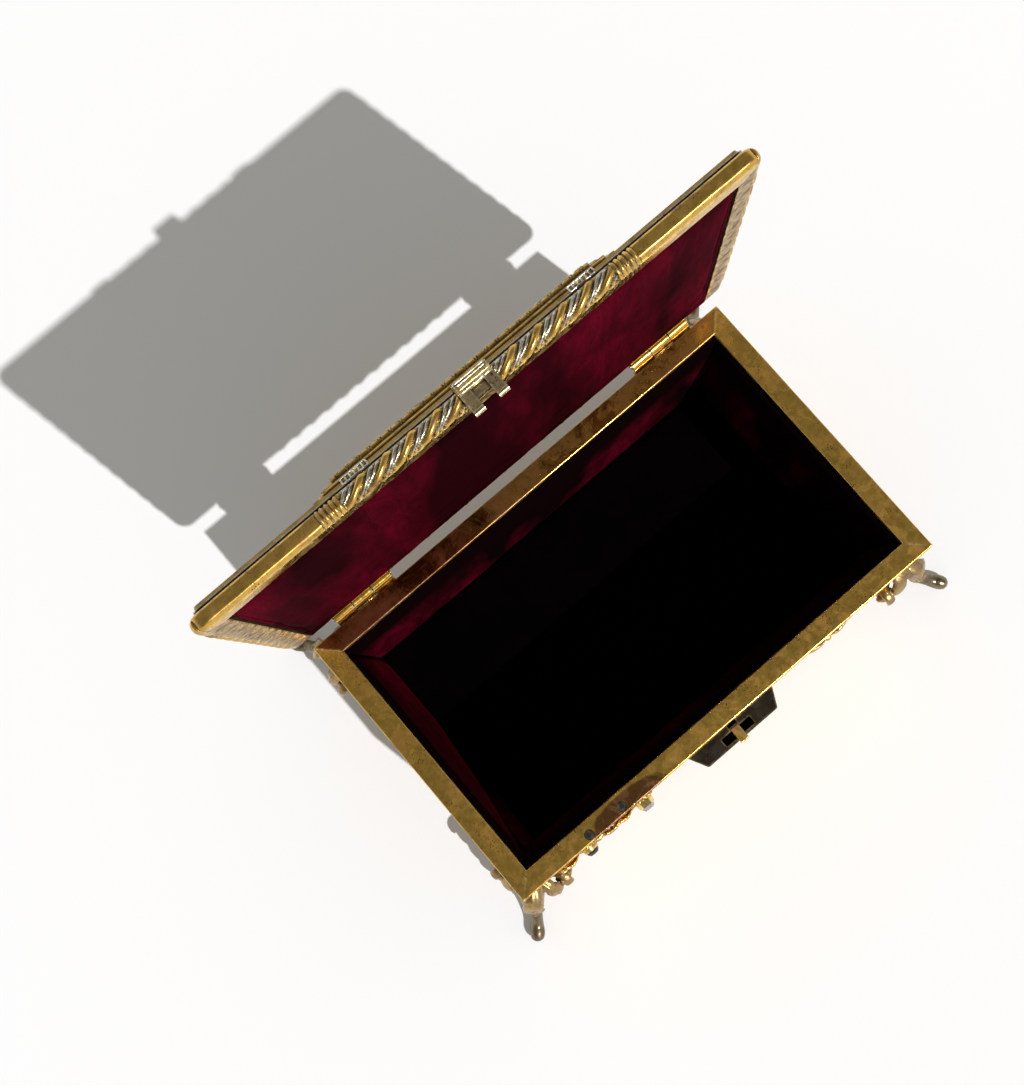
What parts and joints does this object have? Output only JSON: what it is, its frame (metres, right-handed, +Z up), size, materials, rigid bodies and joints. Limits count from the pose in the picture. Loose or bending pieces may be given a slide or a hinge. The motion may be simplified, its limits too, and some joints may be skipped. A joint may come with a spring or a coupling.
{
  "type": "hinged casket",
  "caption": "Small velvet-lined metal casket with a hinged lid, hasp and lock, on cast scroll feet.",
  "frame": {"origin": "on the floor under the middle of the body, between the soles of the four feet", "axes": "+X to the right seen from the front, +Y to the back where the hinges are, +Z up"},
  "size_m": [0.1848, 0.131, 0.1801],
  "materials": {
    "gilt_brass": "worn satin gilding",
    "aged_brass": "dull with dark patina",
    "dark_patina": "oxidised",
    "velvet": "crimson pile",
    "steel": "dull",
    "paste_stone": "polished",
    "dark_stone": "polished"
  },
  "bodies": {
    "casket": {"base_plate": "gilt_brass", "button_setting": "gilt_brass", "button_stone": "dark_stone", "foot_front_left": "gilt_brass", "foot_front_right": "gilt_brass", "foot_rear_left": "gilt_brass", "foot_rear_right": "gilt_brass", "foot_screws": "steel", "front_mount_left": "gilt_brass", "front_mount_right": "gilt_brass", "hinge_leaf_body_left": "gilt_brass", "hinge_leaf_body_right": "gilt_brass", "hinge_pin_left": "steel", "hinge_pin_right": "steel", "hinge_rivets": "gilt_brass", "jewel_cabochon": "paste_stone", "jewel_collet": "gilt_brass", "latch_spring": "steel", "lining_back": "velvet", "lining_floor": "velvet", "lining_front": "velvet", "lining_left": "velvet", "lining_right": "velvet", "lock_case": "dark_patina", "rim_back": "gilt_brass", "rim_front": "gilt_brass", "rim_left": "gilt_brass", "rim_right": "gilt_brass", "rim_screws": "dark_patina", "wall_back": "gilt_brass", "wall_front": "gilt_brass", "wall_left": "gilt_brass", "wall_right": "gilt_brass"},
    "lid": {"hasp": "gilt_brass", "hinge_leaf_lid_left": "gilt_brass", "hinge_leaf_lid_right": "gilt_brass", "lid_lining": "velvet", "lid_panel": "aged_brass", "lid_plaque": "aged_brass", "lid_tray": "aged_brass", "moulding_back": "gilt_brass", "moulding_front": "gilt_brass", "moulding_left": "gilt_brass", "moulding_right": "gilt_brass"},
    "latch_slide": {"latch_bar": "steel", "lock_button": "gilt_brass"}
  },
  "joints": [
    {"name": "lid_hinge", "type": "hinge", "parent": "casket", "child": "lid", "pos_m": [0, 0.0496, 0.0792], "axis": [-1, 0, 0], "range_deg": [-90, 10]},
    {"name": "latch_push", "type": "slide", "parent": "casket", "child": "latch_slide", "axis": [0, 1, 0], "range_m": [0, 0.0008], "stiffness_N_per_m": 400, "springref_m": -0.0005}
  ]
}
